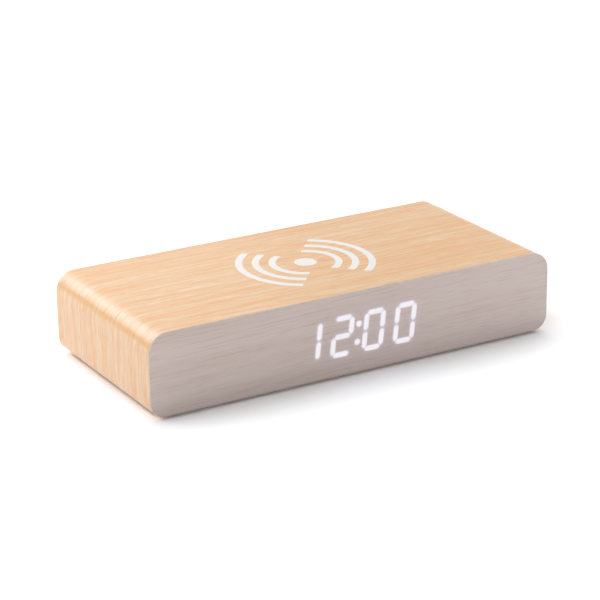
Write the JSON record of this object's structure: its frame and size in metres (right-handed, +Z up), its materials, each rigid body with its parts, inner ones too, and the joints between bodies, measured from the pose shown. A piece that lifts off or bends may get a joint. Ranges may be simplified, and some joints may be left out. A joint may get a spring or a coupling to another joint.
{
  "type": "wireless charging alarm clock",
  "caption": "Low rounded desk clock with a lit digital display behind a wood-grain front, a wireless phone charging top, and buttons and a power socket at the rear.",
  "frame": {"origin": "on the table under the middle of the body, level with the underside of the feet", "axes": "+X to the right as seen from the front, +Y to the rear, +Z up; the display faces -Y"},
  "size_m": [0.15, 0.068, 0.0286],
  "materials": {
    "bamboo_film": "satin bamboo-look finish, grain running round the sleeve",
    "greige_veneer": "matt greige wood grain",
    "lit_plastic": "glowing milky plastic",
    "white_print": "white printed mark",
    "black_plastic": "opaque moulded plastic",
    "white_plastic": "white moulded plastic",
    "led_resin": "clear yellow resin",
    "circuit_board": "green solder mask",
    "chip_resin": "black moulded resin",
    "ribbon_film": "flat ribbon",
    "chassis_plastic": "dark moulded plastic",
    "screw_steel": "zinc-plated steel",
    "foot_rubber": "soft black rubber",
    "ferrite": "sintered ferrite",
    "copper": "enamelled copper wire",
    "capacitor_body": "ceramic capacitor body",
    "cell_steel": "bright pressed steel",
    "cover_plastic": "fine-textured greige plastic",
    "button_plastic": "satin darker greige plastic",
    "plunger_plastic": "moulded switch plunger"
  },
  "bodies": {
    "case": {"wood_sleeve": "bamboo_film", "front_veneer": "greige_veneer", "front_panel": "black_plastic", "lit_segments": "lit_plastic", "dark_segments": "greige_veneer", "colon_dots": "lit_plastic", "charge_mark": "white_print", "display_housing": "white_plastic", "segment_leds": "led_resin", "display_board": "circuit_board", "display_driver": "chip_resin", "display_ribbon": "ribbon_film", "chassis": "chassis_plastic", "base_screws": "screw_steel", "rubber_feet": "foot_rubber", "coil_tray": "white_plastic", "tray_screws": "screw_steel", "ferrite_shield": "ferrite", "charging_coil": "copper", "coil_leads": "copper", "main_board": "circuit_board", "board_screws": "screw_steel", "board_chips": "chip_resin", "coil_capacitors": "capacitor_body", "power_inductor": "ferrite", "cell_holder": "chip_resin", "backup_cell": "cell_steel", "cell_clip": "cell_steel", "buzzer": "chip_resin", "socket_shell": "cell_steel", "socket_tongue": "chip_resin", "switch_bodies": "chip_resin", "rear_cover": "cover_plastic", "rear_screws": "screw_steel"},
    "set_key": {"set_button": "button_plastic", "set_plunger": "plunger_plastic"},
    "up_key": {"up_button": "button_plastic", "up_plunger": "plunger_plastic"},
    "down_key": {"down_button": "button_plastic", "down_plunger": "plunger_plastic"}
  },
  "joints": [
    {"name": "set_press", "type": "slide", "parent": "case", "child": "set_key", "axis": [0, -1, 0], "range_m": [0, 0.0005], "stiffness_N_per_m": 2000, "springref_m": -0.0003},
    {"name": "up_press", "type": "slide", "parent": "case", "child": "up_key", "axis": [0, -1, 0], "range_m": [0, 0.0005], "stiffness_N_per_m": 2000, "springref_m": -0.0003},
    {"name": "down_press", "type": "slide", "parent": "case", "child": "down_key", "axis": [0, -1, 0], "range_m": [0, 0.0005], "stiffness_N_per_m": 2000, "springref_m": -0.0003}
  ]
}
